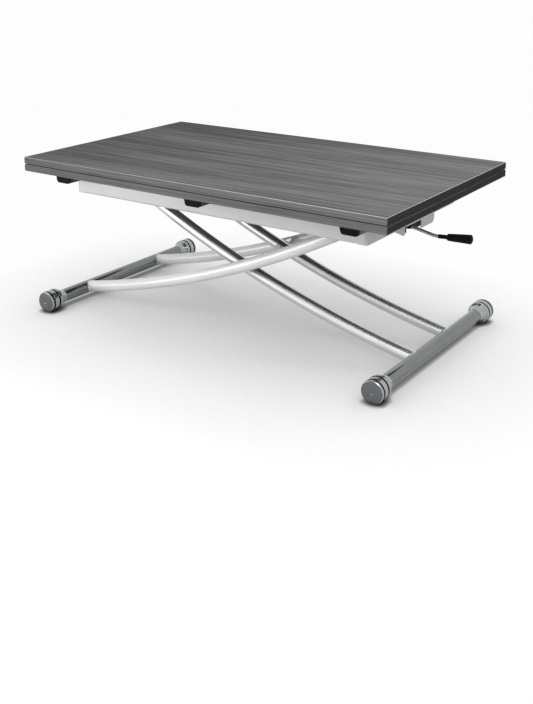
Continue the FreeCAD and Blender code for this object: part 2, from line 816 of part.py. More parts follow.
def lever_rod():
    """The bent rod with the hub and the finger that presses the valve pin."""
    hub, bend, tip = lever_line()
    inward = (hub - bend).normalize()
    outward = (tip - bend).normalize()
    half_angle = inward.getAngle(outward) / 2
    reach = lever_bend_radius / math.tan(half_angle)
    middle = bend + (inward + outward).normalize() * (lever_bend_radius / math.sin(half_angle) - lever_bend_radius)
    arc_ends = [bend + inward * reach, bend + outward * reach]
    grip_start, direction = grip_axis()
    rod_end = grip_start + direction * grip_bore_depth
    path = [Part.makeLine(hub, arc_ends[0]), Part.Arc(arc_ends[0], middle, arc_ends[1]).toShape()]
    path.append(Part.makeLine(arc_ends[1], rod_end))
    section = Part.Wire(Part.makeCircle(lever_rod_radius, hub, inward))
    rod = Part.Wire(path).makePipeShell([section], True, False)
    half = lever_hub_width / 2
    boss = round_y(lever_x, lever_z, -half, half, lever_hub_radius)
    finger_x = lever_finger_thickness / 2
    finger_top = gas_z + 2 * valve_pin_radius
    finger = block(lever_x - finger_x, lever_x + finger_x, -half, half, lever_z, finger_top)
    bore = round_y(lever_x, lever_z, -half - overrun, half + overrun, lever_pin_radius + running_fit)
    return rod.fuse([boss, finger]).cut(bore).removeSplitter()


def lever_grip():
    """A tapered grip with a bevelled neck, a domed end and a blind bore for the rod."""
    start, direction = grip_axis()
    upward = point(-direction.z, 0, direction.x)

    def at(run, radius):
        return start + direction * run + upward * radius

    corners = [at(grip_bore_depth, 0), at(grip_bore_depth, lever_rod_radius), at(0, lever_rod_radius)]
    corners += [at(0, grip_neck_radius), at(grip_bevel, grip_waist_radius)]
    corners += [at(grip_length - grip_dome, grip_end_radius)]
    middle = grip_end_radius * dome_middle_share
    middle_run = grip_length - dome_fall(grip_end_radius, grip_dome, middle)
    dome = Part.Arc(corners[-1], at(middle_run, middle), at(grip_length, 0)).toShape()
    closing = polyline([at(grip_length, 0), corners[0]])
    return turned_profile(polyline(corners) + [dome] + closing, start, direction)


def lever_sleeve():
    """The plain sleeve on the rod beside the grip."""
    start, direction = grip_axis()
    base = start - direction * sleeve_length
    bore = Part.makeCylinder(lever_rod_radius, sleeve_length, base, direction)
    return Part.makeCylinder(sleeve_radius, sleeve_length, base, direction).cut(bore)


def valve_pin():
    """The gas spring's release pin, standing just clear of the lever's finger."""
    end_x = lever_x - lever_finger_thickness / 2 - side_gap
    return round_x(0, gas_z, end_x - valve_pin_length, end_x, valve_pin_radius)


def release_lever(parts):
    """The lever that unlocks the gas spring, and what carries it."""
    parts["lever_bracket"] = lever_bracket()
    parts["release_head"] = release_head()
    half = head_boss_width / 2
    parts["lever_pin"] = round_y(lever_x, lever_z, -half, half, lever_pin_radius)
    parts["valve_pin"] = valve_pin()
    parts["lever_rod"] = lever_rod()
    parts["lever_sleeve"] = lever_sleeve()
    parts["lever_grip"] = lever_grip()


def build():
    """Every sub-part of the table, by node name."""
    parts = {}
    table_top(parts)
    sub_frame(parts)
    outer_legs(parts)
    inner_legs(parts)
    feet(parts)
    gas_spring(parts)
    release_lever(parts)
    return parts


def save(parts):
    """Writes each sub-part, moved to the origin under the middle of the whole table's box."""
    os.makedirs("parts", exist_ok=True)
    for name, shape in parts.items():
        shape.translated(point(table_mid_x, 0, 0)).exportStep("parts/" + name + ".step")


save(build())
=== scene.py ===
import logging
import math
from dataclasses import dataclass
from enum import Enum
from typing import Iterable, Sequence

import bmesh
import bpy
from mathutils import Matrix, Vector


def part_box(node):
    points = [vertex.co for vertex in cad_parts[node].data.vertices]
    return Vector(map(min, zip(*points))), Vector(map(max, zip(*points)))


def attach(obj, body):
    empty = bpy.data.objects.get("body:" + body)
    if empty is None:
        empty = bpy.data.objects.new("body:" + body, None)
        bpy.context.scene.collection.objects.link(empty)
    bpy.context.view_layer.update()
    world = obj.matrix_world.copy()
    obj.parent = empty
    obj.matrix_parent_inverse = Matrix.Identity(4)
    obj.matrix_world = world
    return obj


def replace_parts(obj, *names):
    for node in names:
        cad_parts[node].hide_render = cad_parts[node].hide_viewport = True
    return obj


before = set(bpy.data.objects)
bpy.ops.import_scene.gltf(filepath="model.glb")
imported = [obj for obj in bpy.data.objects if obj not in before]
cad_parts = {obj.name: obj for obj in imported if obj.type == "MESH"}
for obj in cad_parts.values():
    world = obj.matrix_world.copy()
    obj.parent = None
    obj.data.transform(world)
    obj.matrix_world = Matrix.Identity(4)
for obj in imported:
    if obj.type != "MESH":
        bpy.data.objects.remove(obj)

LOG = logging.getLogger("convertible_table")
MM = 0.001

Colour = tuple[float, float, float]
Point = tuple[float, float, float]
Span = tuple[float, float]
Line = tuple[Vector, Vector, Vector]
Material = bpy.types.Material
Mesh = bpy.types.Mesh
Piece = bpy.types.Object
Socket = bpy.types.NodeSocket

BLACK: Colour = (0.0, 0.0, 0.0)
FULL_SPAN: Span = (0.0, 1.0)
SOCKET_TYPES = {float: "NodeSocketFloat", tuple: "NodeSocketVector", Material: "NodeSocketMaterial"}


def srgb(code: str) -> Colour:
    """Turns a hexadecimal display colour into linear light.

    Args:
        code: six hexadecimal digits, red first.

    Returns:
        The colour in linear light.
    """
    levels = [int(code[start:start + 2], 16) / 255 for start in (0, 2, 4)]
    linear = [v / 12.92 if v <= 0.04045 else ((v + 0.055) / 1.055) ** 2.4 for v in levels]
    return linear[0], linear[1], linear[2]


def shaded(colour: Colour, share: float, lift: float = 0.0) -> Colour:
    """Makes a colour lighter or darker.

    Args:
        colour: the colour in linear light.
        share: what each level is multiplied by.
        lift: what is then added to it.

    Returns:
        The new colour, which stops at white.
    """
    red, green, blue = (min(1.0, level * share + lift) for level in colour)
    return red, green, blue


def even(repeats: float) -> Point:
    """The same repeats per metre along X, Y and Z."""
    return repeats, repeats, repeats


def middle_of(node: str) -> Point:
    """The middle of a CAD node's box at rest."""
    x, y, z = ((low + high) / 2 for low, high in zip(*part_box(node)))
    return x, y, z


class MixKind(Enum):
    """A Mix node's data type, the places of its two values and the place of its result."""

    COLOUR = ("RGBA", 6, 7, 2)
    VECTOR = ("VECTOR", 4, 5, 1)


class NodeGraph:
    """Short calls for the nodes of one tree."""

    def __init__(self, tree: bpy.types.NodeTree) -> None:
        """Keeps the tree that the nodes go into."""
        self.tree = tree

    def add(self, kind: str, inputs: dict[str, object] | None = None, **settings: object) -> bpy.types.Node:
        """Adds a node, sets its properties and feeds its inputs.

        Args:
            kind: the node's type name.
            inputs: plain values or sockets, by input name.
            settings: node properties, by name.

        Returns:
            The node.
        """
        node = self.tree.nodes.new(kind)
        for name, value in settings.items():
            setattr(node, name, value)
        for name, value in (inputs or {}).items():
            self.feed(node.inputs[name], value)
        return node

    def feed(self, socket: Socket, value: object) -> None:
        """Links a socket or sets its constant.

        Args:
            socket: the input socket.
            value: another node's output, or a plain value.
        """
        if isinstance(value, Socket):
            self.tree.links.new(value, socket)
        else:
            socket.default_value = value

    def math(self, operation: str, *values: object) -> Socket:
        """One step of arithmetic.

        Args:
            operation: the math node's operation.
            values: numbers or sockets, in order.

        Returns:
            The result.
        """
        node = self.add("ShaderNodeMath", operation=operation)
        for socket, value in zip(node.inputs, values):
            self.feed(socket, value)
        return node.outputs["Value"]

    def mix(self, kind: MixKind, factor: object, first: object, second: object) -> Socket:
        """Mixes two colours or two vectors.

        Args:
            kind: which of them.
            factor: how much of the second.
            first: a value or socket.
            second: a value or socket.

        Returns:
            The mixture.
        """
        data_type, first_place, second_place, result = kind.value
        node = self.add("ShaderNodeMix", data_type=data_type)
        for place, value in ((0, factor), (first_place, first), (second_place, second)):
            self.feed(node.inputs[place], value)
        return node.outputs[result]

    def split(self, vector: Socket) -> bpy.types.bpy_prop_collection:
        """The three parts of a vector, by axis name."""
        return self.add("ShaderNodeSeparateXYZ", {"Vector": vector}).outputs

    def span(self, value: Socket, source: Span, target: tuple[object, object]) -> Socket:
        """Stretches one range of a value on to another, clamped.

        Args:
            value: the value to stretch.
            source: the start and end of its range.
            target: what they become.

        Returns:
            The stretched value.
        """
        ends = {"From Min": source[0], "From Max": source[1], "To Min": target[0], "To Max": target[1]}
        return self.add("ShaderNodeMapRange", {"Value": value, **ends}, clamp=True).outputs["Result"]

    def seen(self) -> Socket:
        """Whether a ray is the camera's own, a mirror's or a glass's.

        Returns:
            1 where it is.
        """
        path = self.add("ShaderNodeLightPath").outputs
        either = self.math("MAXIMUM", path["Is Camera Ray"], path["Is Glossy Ray"])
        return self.math("MAXIMUM", either, path["Is Transmission Ray"])


class ShaderGraph(NodeGraph):
    """A new material and the shader nodes that the finishes share."""

    def __init__(self, name: str) -> None:
        """Makes the material.

        Args:
            name: the finish's name.
        """
        self.material = bpy.data.materials.new(name)
        self.material.use_nodes = True
        super().__init__(self.material.node_tree)
        self.surface = self.tree.nodes["Principled BSDF"]

    def set(self, **values: object) -> None:
        """Feeds the surface shader, with spaces in the socket names written as underscores."""
        for name, value in values.items():
            self.feed(self.surface.inputs[name.replace("_", " ")], value)

    def place(self) -> Socket:
        """Object coordinates, in metres."""
        return self.add("ShaderNodeTexCoord").outputs["Object"]

    def noise(
        self, repeats: Point, detail: float, wander: float = 0.0, source: Socket | None = None
    ) -> Socket:
        """Noise over Object coordinates.

        Args:
            repeats: repeats per metre along X, Y and Z.
            detail: octaves of finer noise.
            wander: how far the pattern strays.
            source: other coordinates to use instead.

        Returns:
            The noise value.
        """
        scaled = self.add("ShaderNodeMapping", {"Vector": source or self.place(), "Scale": repeats})
        values = {"Vector": scaled.outputs["Vector"], "Scale": 1.0, "Detail": detail, "Distortion": wander}
        return self.add("ShaderNodeTexNoise", values).outputs["Fac"]

    def blend(self, factor: object, first: object, second: object) -> Socket:
        """Mixes two colours.

        Args:
            factor: how much of the second.
            first: a colour or socket.
            second: a colour or socket.

        Returns:
            The mixed colour.
        """
        opaque = [(*value, 1.0) if isinstance(value, tuple) else value for value in (first, second)]
        return self.mix(MixKind.COLOUR, factor, *opaque)

    def ramp(self, value: Socket, places: Sequence[float], colours: Sequence[Colour]) -> Socket:
        """Colours a value.

        Args:
            value: from 0 to 1.
            places: where the colours stand, in order.
            colours: as many colours.

        Returns:
            The colour.
        """
        node = self.add("ShaderNodeValToRGB", {"Fac": value})
        elements = node.color_ramp.elements
        while len(elements) < len(places):
            elements.new(places[-1])
        for element, place, colour in zip(elements, places, colours):
            element.position = place
            element.color = (*colour, 1.0)
        return node.outputs["Color"]

    def bump(self, height: Socket, strength: float, depth: float) -> None:
        """Gives the surface a relief.

        Args:
            height: the relief from 0 to 1.
            strength: how much of it shows.
            depth: its full height, in metres.
        """
        values = {"Height": height, "Strength": strength, "Distance": depth}
        self.set(Normal=self.add("ShaderNodeBump", values).outputs["Normal"])

    def facing(self, axis: str) -> Socket:
        """How far the true surface faces along an axis, either way.

        Args:
            axis: X, Y or Z.

        Returns:
            The size of the normal's share on that axis.
        """
        normal = self.add("ShaderNodeNewGeometry").outputs["True Normal"]
        return self.math("ABSOLUTE", self.split(normal)[axis])


class GrainWay(Enum):
    """Which way the printed grain runs."""

    BOARD = "along the board"
    BAND = "along each edge"


@dataclass(frozen=True)
class GrainLayer:
    """One layer of the printed grain, in repeats per metre."""

    along: float
    across: float
    detail: float
    wander: float = 0.0

    def draw(self, graph: ShaderGraph, source: Socket | None, squeeze: float = 1.0) -> Socket:
        """Draws the layer.

        Args:
            graph: the material's nodes.
            source: the coordinates to draw it on, or None for the plain ones.
            squeeze: how much finer it is in height.

        Returns:
            The layer's value.
        """
        return graph.noise((self.along, self.across, self.across * squeeze), self.detail, self.wander, source)


@dataclass(frozen=True)
class RimWearAndHighlight:
    """The pale line along a band's upper edge: partly a worn arris, partly a painted highlight on its
    chamfer.
    """

    colour: Colour
    lowest: float


@dataclass(frozen=True)
class WoodGrainFinish:
    """Grey melamine printed with long wood streaks."""

    name: str
    way: GrainWay
    dark: Colour
    middle: Colour
    light: Colour
    roughness: float
    rim: RimWearAndHighlight | None = None

    BROAD = GrainLayer(0.8, 9.0, detail=2.0, wander=0.5)
    STREAKS = GrainLayer(1.9, 70.0, detail=4.0, wander=0.3)
    DASHES = GrainLayer(6.0, 210.0, detail=2.0)
    FIBRES = GrainLayer(11.0, 560.0, detail=3.0)
    PORES = GrainLayer(24.0, 900.0, detail=2.0)
    BAND_SQUEEZE = 4.0
    BROAD_SHARE, STREAK_SHARE, FIBRE_SHARE = 0.26, 0.42, 0.32
    TONE_PLACES = (0.38, 0.5, 0.63)
    DASH_SPAN, DASH_SHARE = (0.56, 0.7), 0.55
    PORE_SPAN, PORE_SHARE, PORE_SHADE = (0.62, 0.72), 0.35, 0.55
    RIM_SLANT, RIM_SHARE = (0.35, 0.93), 0.85
    # END_FACING and the share after it set the painted shade on the band's short edges.
    SIDE_FACING, END_FACING, END_SHARE = 0.6, 0.95, 0.68
    ROUGH_SPAN, SMOOTHER, ROUGHER = (0.3, 0.7), 0.05, 0.07
    SPECULAR = 0.008
    PORE_DEPTH, RELIEF, RELIEF_DEPTH = -0.5, 0.25, 0.05 * MM

    def material(self) -> Material:
        """Builds the finish.

        Returns:
            The material.
        """
        graph = ShaderGraph(self.name)
        source = self._direction(graph)
        squeeze = self.BAND_SQUEEZE if self.way is GrainWay.BAND else 1.0
        broad = self.BROAD.draw(graph, source, squeeze)
        streaks = self.STREAKS.draw(graph, source, squeeze)
        dashes = self.DASHES.draw(graph, source, squeeze)
        fibres = self.FIBRES.draw(graph, source)
        pores = self.PORES.draw(graph, source)
        tone = graph.math("MULTIPLY", broad, self.BROAD_SHARE)
        tone = graph.math("MULTIPLY_ADD", streaks, self.STREAK_SHARE, tone)
        tone = graph.math("MULTIPLY_ADD", fibres, self.FIBRE_SHARE, tone)
        colour = graph.ramp(tone, self.TONE_PLACES, (self.dark, self.middle, self.light))
        colour = graph.blend(graph.span(dashes, self.DASH_SPAN, (0.0, self.DASH_SHARE)), colour, self.dark)
        pore_mask = graph.span(pores, self.PORE_SPAN, (0.0, self.PORE_SHARE))
        colour = graph.blend(pore_mask, colour, shaded(self.dark, self.PORE_SHADE))
        if self.rim:
            colour = self._edged(graph, colour, self.rim)
        limits = (self.roughness - self.SMOOTHER, self.roughness + self.ROUGHER)
        graph.set(Base_Color=colour, Roughness=graph.span(fibres, self.ROUGH_SPAN, limits))
        graph.set(Specular_IOR_Level=self.SPECULAR)
        relief = graph.math("MULTIPLY_ADD", pores, self.PORE_DEPTH, fibres)
        graph.bump(relief, self.RELIEF, self.RELIEF_DEPTH)
        return graph.material

    def _edged(self, graph: ShaderGraph, colour: Socket, rim: RimWearAndHighlight) -> Socket:
        """Gives a band its pale rim, partly a worn arris and partly a painted highlight, and painted shade on
        its short edges.

        Args:
            graph: the material's nodes.
            colour: the printed grain.
            rim: the pale line, partly wear and partly painted highlight.

        Returns:
            The band's colour.
        """
        low, high = self.RIM_SLANT
        # Partly wear, partly painted highlight: the chamfer along the upper edge is blended towards the pale
        # rim colour.
        slant = graph.math("COMPARE", graph.facing("Z"), (low + high) / 2, (high - low) / 2)
        upper = graph.math("GREATER_THAN", graph.split(graph.place())["Z"], rim.lowest)
        worn = graph.math("MULTIPLY", graph.math("MULTIPLY", slant, upper), self.RIM_SHARE)
        colour = graph.blend(worn, colour, rim.colour)
        # Painted shade: the band's short edges are darkened towards black.
        shaded_short_edge = graph.math("GREATER_THAN", graph.facing("X"), self.END_FACING)
        return graph.blend(graph.math("MULTIPLY", shaded_short_edge, self.END_SHARE), colour, BLACK)

    def _direction(self, graph: ShaderGraph) -> Socket | None:
        """Swaps X and Y on the short edges of a band.

        Args:
            graph: the material's nodes.

        Returns:
            The coordinates to draw on, or None for the plain ones.
        """
        if self.way is GrainWay.BOARD:
            return None
        source = graph.place()
        parts = graph.split(source)
        swapped = graph.add("ShaderNodeCombineXYZ", {"X": parts["Y"], "Y": parts["X"], "Z": parts["Z"]})
        sideways = graph.math("GREATER_THAN", graph.facing("X"), self.SIDE_FACING)
        return graph.mix(MixKind.VECTOR, sideways, source, swapped.outputs["Vector"])


@dataclass(frozen=True)
class PaintFinish:
    """Paint or powder coat on metal, with a faint orange-peel skin."""

    name: str
    colour: Colour
    roughness: float
    metallic: float
    coat: float = 0.0
    peel: float = 0.12

    CLOUD_REPEATS, CLOUD_DETAIL, CLOUD_SPAN = 9.0, 3.0, (0.3, 0.7)
    PEEL_REPEATS, PEEL_DETAIL, PEEL_DEPTH = 700.0, 1.0, 0.03 * MM
    FLAKE_REPEATS, FLAKE_DETAIL, FLAKE_SPAN, FLAKE_SHARE = 4200.0, 0.0, (0.55, 0.8), 0.15
    DULL, BRIGHT, GLINT = 0.94, 1.03, 1.12
    SMOOTHER, ROUGHER = 0.88, 1.15
    COAT_ROUGHNESS = 0.08

    def material(self) -> Material:
        """Builds the finish.

        Returns:
            The material.
        """
        graph = ShaderGraph(self.name)
        cloud = graph.noise(even(self.CLOUD_REPEATS), self.CLOUD_DETAIL)
        peel = graph.noise(even(self.PEEL_REPEATS), self.PEEL_DETAIL)
        flake = graph.noise(even(self.FLAKE_REPEATS), self.FLAKE_DETAIL)
        dull, bright, glint = (shaded(self.colour, share) for share in (self.DULL, self.BRIGHT, self.GLINT))
        shade = graph.blend(graph.span(cloud, self.CLOUD_SPAN, FULL_SPAN), dull, bright)
        shade = graph.blend(graph.span(flake, self.FLAKE_SPAN, (0.0, self.FLAKE_SHARE)), shade, glint)
        limits = (self.roughness * self.SMOOTHER, self.roughness * self.ROUGHER)
        rough = graph.span(cloud, self.CLOUD_SPAN, limits)
        graph.set(Base_Color=shade, Roughness=rough, Metallic=self.metallic)
        graph.set(Coat_Weight=self.coat, Coat_Roughness=self.COAT_ROUGHNESS)
        graph.bump(peel, self.peel, self.PEEL_DEPTH)
        return graph.material


@dataclass(frozen=True)
class TurnedMetalFinish:
    """Metal turned or drawn, with fine marks round or along it, and painted shade that darkens its end faces.
    """

    name: str
    colour: Colour
    roughness: float
    metallic: float
    marks: Point
    mark_depth: float
    end_face_shade: float = 1.0

    MARK_DETAIL, MARK_SHARE, MARK_RELIEF = 3.0, 0.6, 0.2
    CLOUD_REPEATS, CLOUD_DETAIL, CLOUD_SHARE = 25.0, 3.0, 0.4
    TONE_SPAN, END_SPAN = (0.35, 0.65), (0.72, 0.9)
    DULL, BRIGHT = 0.88, 1.1
    SMOOTHER, ROUGHER = 0.85, 1.2

    def material(self) -> Material:
        """Builds the finish.

        Returns:
            The material.
        """
        graph = ShaderGraph(self.name)
        marks = graph.noise(self.marks, self.MARK_DETAIL)
        cloud = graph.noise(even(self.CLOUD_REPEATS), self.CLOUD_DETAIL)
        tone = graph.math("MULTIPLY", cloud, self.CLOUD_SHARE)
        tone = graph.math("MULTIPLY_ADD", marks, self.MARK_SHARE, tone)
        dull, bright, end = (shaded(self.colour, share) for share in (self.DULL, self.BRIGHT, self.end_face_shade))
        shade = graph.blend(graph.span(tone, self.TONE_SPAN, FULL_SPAN), dull, bright)
        # Painted shade: faces that look along Y are darkened to the end colour.
        shade = graph.blend(graph.span(graph.facing("Y"), self.END_SPAN, FULL_SPAN), shade, end)
        limits = (self.roughness * self.SMOOTHER, self.roughness * self.ROUGHER)
        rough = graph.span(tone, self.TONE_SPAN, limits)
        graph.set(Base_Color=shade, Roughness=rough, Metallic=self.metallic)
        graph.bump(marks, self.MARK_RELIEF, self.mark_depth)
        return graph.material


@dataclass(frozen=True)
class MouldedFinish:
    """Moulded plastic or rubber with a fine spark-eroded grain."""

    name: str
    colour: Colour
    roughness: float
    grain_per_metre: float
    grain_strength: float

    GRAIN_DETAIL, GRAIN_DEPTH = 2.0, 0.06 * MM
    DUST_REPEATS, DUST_DETAIL, DUST_SPAN, DUST_SHARE = 40.0, 4.0, (0.45, 0.75), 0.6
    WORN, WORN_LIFT = 1.35, 0.003
    ROUGH_SPAN, SMOOTHER, ROUGHER = (0.3, 0.7), 0.9, 1.12
    SPECULAR = 0.06

    def material(self) -> Material:
        """Builds the finish.

        Returns:
            The material.
        """
        graph = ShaderGraph(self.name)
        grain = graph.noise(even(self.grain_per_metre), self.GRAIN_DETAIL)
        dust = graph.noise(even(self.DUST_REPEATS), self.DUST_DETAIL)
        worn = shaded(self.colour, self.WORN, self.WORN_LIFT)
        shade = graph.blend(graph.span(dust, self.DUST_SPAN, (0.0, self.DUST_SHARE)), self.colour, worn)
        limits = (self.roughness * self.SMOOTHER, min(1.0, self.roughness * self.ROUGHER))
        rough = graph.span(dust, self.ROUGH_SPAN, limits)
        graph.set(Base_Color=shade, Roughness=rough, Specular_IOR_Level=self.SPECULAR)
        graph.bump(grain, self.grain_strength, self.GRAIN_DEPTH)
        return graph.material


def add_piece(name: str, mesh: Mesh, body: str) -> Piece:
    """Puts a plain mesh into the scene as a piece of the table.

    Args:
        name: the piece's name.
        mesh: its mesh, in the shared frame.
        body: the body that it rides on.

    Returns:
        The piece.
    """
    mesh.name = name
    piece = bpy.data.objects.new(name, mesh)
    bpy.context.collection.objects.link(piece)
    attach(piece, body)
    LOG.info("%s: %d faces on %s", name, len(mesh.polygons), body)
    return piece


class GeometryGraph(NodeGraph):
    """A new Geometry Nodes tree that makes one piece."""

    def __init__(self, name: str, values: dict[str, object]) -> None:
        """Makes the tree, with a named input for each value.

        Args:
            name: the piece's name.
            values: sizes as numbers, places as tuples, and the material as Finish.
        """
        super().__init__(bpy.data.node_groups.new(name, "GeometryNodeTree"))
        self.name = name
        self.values = values
        face = self.tree.interface
        face.new_socket("Geometry", in_out="INPUT", socket_type="NodeSocketGeometry")
        for label, value in values.items():
            face.new_socket(label, in_out="INPUT", socket_type=SOCKET_TYPES[type(value)])
        face.new_socket("Geometry", in_out="OUTPUT", socket_type="NodeSocketGeometry")
        self.given = self.add("NodeGroupInput").outputs

    def raised(self, mesh: Socket, height: Socket) -> Socket:
        """Lifts a part of a fastener along its axis.

        Args:
            mesh: the geometry to lift.
            height: how far.

        Returns:
            The lifted geometry.
        """
        offset = self.add("ShaderNodeCombineXYZ", {"Z": height}).outputs["Vector"]
        move = self.add("GeometryNodeTransform", {"Geometry": mesh, "Translation": offset})
        return move.outputs["Geometry"]

    def sweep(self, path: Socket, radius: Socket, sides: int, **settings: object) -> Socket:
        """Sweeps a round section along a path.

        Args:
            path: the curve.
            radius: the section's radius.
            sides: how many sides the section has.
            settings: other inputs of the sweep, with spaces written as underscores.

        Returns:
            The smooth geometry.
        """
        section = self.add("GeometryNodeCurvePrimitiveCircle", {"Resolution": sides, "Radius": radius})
        others = {name.replace("_", " "): value for name, value in settings.items()}
        curves = {"Curve": path, "Profile Curve": section.outputs["Curve"], **others}
        mesh = self.add("GeometryNodeCurveToMesh", curves).outputs["Mesh"]
        return self.add("GeometryNodeSetShadeSmooth", {"Geometry": mesh}).outputs["Geometry"]

    def realise(self, geometry: Socket, seed: Mesh, body: str, slot: str) -> Piece:
        """Ends the tree and runs it over a seed mesh, into one plain piece.

        Args:
            geometry: what the tree has made.
            seed: the mesh that the tree starts from.
            body: the body that the piece rides on.
            slot: not used.

        Returns:
            The piece.
        """
        solid = self.add("GeometryNodeRealizeInstances", {"Geometry": geometry}).outputs["Geometry"]
        painted = self.add("GeometryNodeSetMaterial", {"Geometry": solid, "Material": self.given["Finish"]})
        self.add("NodeGroupOutput", {"Geometry": painted.outputs["Geometry"]})
        holder = bpy.data.objects.new(seed.name, seed)
        bpy.context.collection.objects.link(holder)
        modifier = holder.modifiers.new(self.name, "NODES")
        modifier.node_group = self.tree
        for item in self.tree.interface.items_tree:
            if item.in_out == "INPUT" and item.name in self.values:
                modifier[item.identifier] = self.values[item.name]
        bpy.context.view_layer.update()
        evaluated = holder.evaluated_get(bpy.context.evaluated_depsgraph_get())
        mesh = bpy.data.meshes.new_from_object(evaluated)
        bpy.data.objects.remove(holder)
        return add_piece(self.name, mesh, body)


class FastenerKind(Enum):
    """The fasteners that the table shows."""

    CROSS_HEAD = "cross-head screw"
    HEX_NUT = "hexagon nut on a stud"


@dataclass
class FastenerPattern:
    """A group of equal fasteners on one body, set out by Geometry Nodes."""

    name: str
    kind: FastenerKind
    points: Sequence[Point]
    facing: Point
    head_radius: float
    head_height: float

    HEAD_SIDES, HEAD_TAPER = 24, 0.82
    RECESS_LENGTH, RECESS_WIDTH, RECESS_RISE = 1.15, 0.26, 0.8
    # Each layer of the nut: its sides, then its radius, depth and middle height as shares of the head.
    NUT_LAYERS = ((32, 1.3, 0.25, 0.125), (6, 1.0, 0.85, 0.675), (24, 0.5, 0.5, 1.35))

    def build(self, material: Material, body: str, slot: str) -> Piece:
        """Makes the group as one plain mesh.

        Args:
            material: the fasteners' finish.
            body: the body that they ride on.
            slot: passed to realise, which does not use it.

        Returns:
            The finished piece.
        """
        turn = Vector(self.facing).to_track_quat("Z", "Y").to_euler()
        sizes = {"Head Radius": self.head_radius, "Head Height": self.head_height}
        graph = GeometryGraph(self.name, {**sizes, "Turn": tuple(turn), "Finish": material})
        head = self._cross_head(graph) if self.kind is FastenerKind.CROSS_HEAD else self._hex_nut(graph)
        spots = graph.add("GeometryNodeMeshToPoints", {"Mesh": graph.given["Geometry"]}).outputs["Points"]
        spread = {"Points": spots, "Instance": head, "Rotation": graph.given["Turn"]}
        heads = graph.add("GeometryNodeInstanceOnPoints", spread).outputs["Instances"]
        seeds = bpy.data.meshes.new(self.name + "_points")
        seeds.from_pydata([Vector(point) for point in self.points], [], [])
        return graph.realise(heads, seeds, body, slot)

    def _cross_head(self, graph: GeometryGraph) -> Socket:
        """A low tapered head with a cross recess.

        Args:
            graph: the tree's nodes.

        Returns:
            The head's geometry.
        """
        radius, height = graph.given["Head Radius"], graph.given["Head Height"]
        narrow = graph.math("MULTIPLY", radius, self.HEAD_TAPER)
        sizes = {"Vertices": self.HEAD_SIDES, "Radius Top": narrow, "Radius Bottom": radius, "Depth": height}
        head = graph.add("GeometryNodeMeshCone", sizes).outputs["Mesh"]
        for long_axis, short_axis in (("X", "Y"), ("Y", "X")):
            length = graph.math("MULTIPLY", radius, self.RECESS_LENGTH)
            width = graph.math("MULTIPLY", radius, self.RECESS_WIDTH)
            size = graph.add("ShaderNodeCombineXYZ", {long_axis: length, short_axis: width, "Z": height})
            arm = graph.add("GeometryNodeMeshCube", {"Size": size.outputs["Vector"]}).outputs["Mesh"]
            arm = graph.raised(arm, graph.math("MULTIPLY", height, self.RECESS_RISE))
            meshes = {"Mesh 1": head, "Mesh 2": arm}
            head = graph.add("GeometryNodeMeshBoolean", meshes, operation="DIFFERENCE").outputs["Mesh"]
        return head

    def _hex_nut(self, graph: GeometryGraph) -> Socket:
        """A six-sided nut with its washer face and the end of its stud.

        Args:
            graph: the tree's nodes.

        Returns:
            The nut's geometry.
        """
        radius, height = graph.given["Head Radius"], graph.given["Head Height"]
        join = graph.add("GeometryNodeJoinGeometry")
        for sides, radius_share, height_share, middle_share in self.NUT_LAYERS:
            wide, deep, lift = (
                graph.math("MULTIPLY", size, share)
                for size, share in ((radius, radius_share), (height, height_share), (height, middle_share))
            )
            disc = graph.add("GeometryNodeMeshCylinder", {"Vertices": sides, "Radius": wide, "Depth": deep})
            graph.feed(join.inputs["Geometry"], graph.raised(disc.outputs["Mesh"], lift))
        return join.outputs["Geometry"]


@dataclass
class LegTube:
    """One bow-bent leg tube, swept by Geometry Nodes along the arc through three points."""

    name: str
    foot: Point
    pivot: Point
    top: Point
    tube_radius: float
    trim: float
    sides: int = 48
    runs: int = 120

    def build(self, material: Material, body: str, slot: str) -> Piece:
        """Sweeps the tube into one plain mesh.

        Args:
            material: the tube's finish.
            body: the body that it rides on.
            slot: passed to realise, which does not use it.

        Returns:
            The finished piece.
        """
        points = {"Foot": self.foot, "Pivot": self.pivot, "Top": self.top}
        sizes = {"Tube Radius": self.tube_radius, "Trim": self.trim}
        graph = GeometryGraph(self.name, {**points, **sizes, "Finish": material})
        given = graph.given
        places = {"Start": given["Foot"], "Middle": given["Pivot"], "End": given["Top"]}
        bend = graph.add("GeometryNodeCurveArc", {"Resolution": self.runs, **places}, mode="POINTS")
        arc = bend.outputs["Curve"]
        length = graph.add("GeometryNodeCurveLength", {"Curve": arc}).outputs["Length"]
        trimmed = graph.add("GeometryNodeTrimCurve", {"Curve": arc}, mode="LENGTH")
        near, far = (end for end in trimmed.inputs if end.name in ("Start", "End") and end.enabled)
        graph.feed(near, given["Trim"])
        graph.feed(far, graph.math("SUBTRACT", length, given["Trim"]))
        tube = graph.sweep(trimmed.outputs["Curve"], given["Tube Radius"], self.sides, Fill_Caps=True)
        return graph.realise(tube, bpy.data.meshes.new(self.name + "_path"), body, slot)


